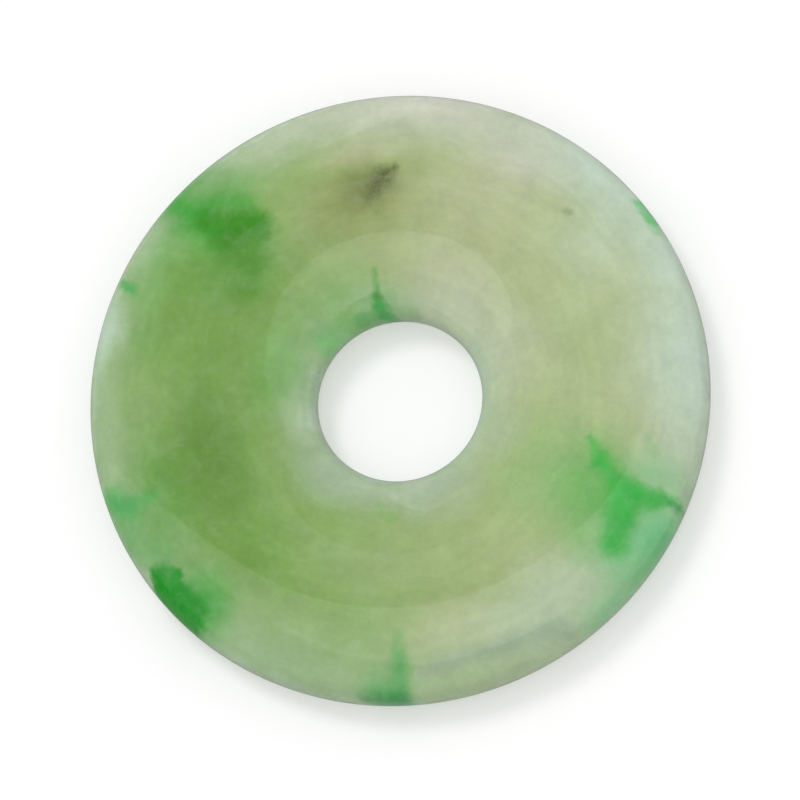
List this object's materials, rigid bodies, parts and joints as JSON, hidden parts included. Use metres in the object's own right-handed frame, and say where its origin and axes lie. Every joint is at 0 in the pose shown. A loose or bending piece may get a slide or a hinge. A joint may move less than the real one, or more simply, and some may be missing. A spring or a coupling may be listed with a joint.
{
  "type": "jade bi disc",
  "caption": "Flat-backed polished stone ring with a low domed face and a central hole for a hanging cord.",
  "frame": {"origin": "centre of the hole, on the plane of the flat back", "axes": "+Z is the disc's axis and points out of the domed face; +X is to the picture's right and +Y to its top"},
  "size_m": [0.05, 0.05, 0.006],
  "materials": {
    "jade": "polished translucent green jade, pale at the edges, with olive clouds and vivid green patches"
  },
  "bodies": {
    "root": {"bi_disc": "jade"}
  },
  "joints": []
}
